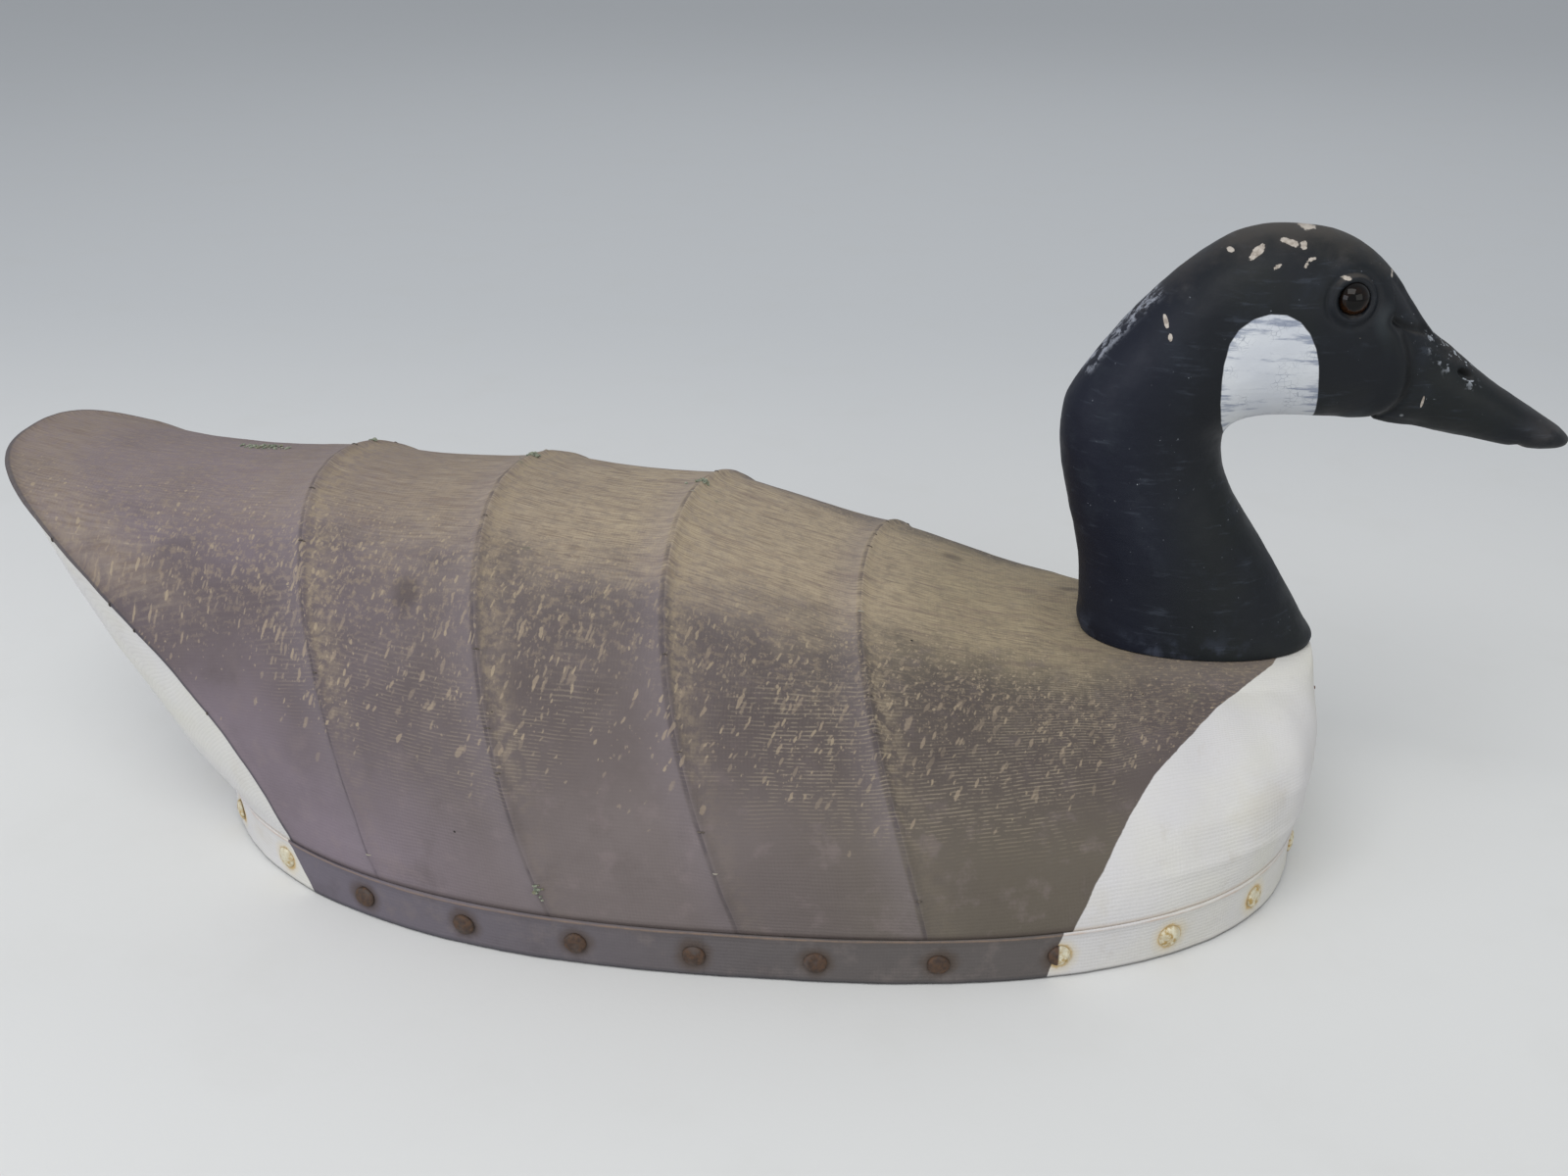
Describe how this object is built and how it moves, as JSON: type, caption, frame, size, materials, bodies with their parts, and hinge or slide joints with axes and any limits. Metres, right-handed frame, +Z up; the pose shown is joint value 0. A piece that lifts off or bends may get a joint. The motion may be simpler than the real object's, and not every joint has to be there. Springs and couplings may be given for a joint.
{
  "type": "canvas goose decoy",
  "caption": "Goose-shaped field decoy with a painted canvas body over wire ribs, flat wooden bottom board and a carved wooden head on a dowel.",
  "frame": {"origin": "centre of the underside of the bottom board at its widest station", "axes": "+X towards the bill, +Y to the bird's left, +Z up"},
  "size_m": [0.7194, 0.3248, 0.2903],
  "materials": {
    "board_wood": "satin",
    "band_canvas": "matte",
    "body_canvas": "matte",
    "frame_wire": "satin",
    "rusty_steel": "matte",
    "bright_steel": "satin",
    "dowel_wood": "satin",
    "head_paint": "satin",
    "eye_glass": "gloss",
    "lead": "matte",
    "tie_leather": "matte"
  },
  "bodies": {
    "frame": {"bottom_board": "board_wood", "edge_band": "band_canvas", "edge_tacks": "rusty_steel", "canvas_cover": "body_canvas", "tail_hoop": "frame_wire", "rib_1": "frame_wire", "rib_2": "frame_wire", "rib_3": "frame_wire", "rib_4": "frame_wire", "backbone": "frame_wire", "backbone_wraps": "frame_wire", "tail_prop": "frame_wire", "rib_staples": "bright_steel", "neck_block": "board_wood", "neck_block_screws": "bright_steel", "collar_tacks": "rusty_steel", "ballast": "lead", "ballast_screws": "bright_steel", "anchor_tie": "tie_leather", "anchor_tie_nail": "rusty_steel"},
    "lift_dowel": {"neck_dowel": "dowel_wood"},
    "turn_head": {"head": "head_paint", "left_eye": "eye_glass", "right_eye": "eye_glass"}
  },
  "joints": [
    {"name": "head_lift", "type": "slide", "parent": "frame", "child": "lift_dowel", "axis": [0, 0, 1], "range_m": [0, 0.05]},
    {"name": "head_turn", "type": "hinge", "parent": "lift_dowel", "child": "turn_head", "pos_m": [0.214, 0, 0.11], "axis": [0, 0, 1], "range_deg": [-40, 40]}
  ]
}
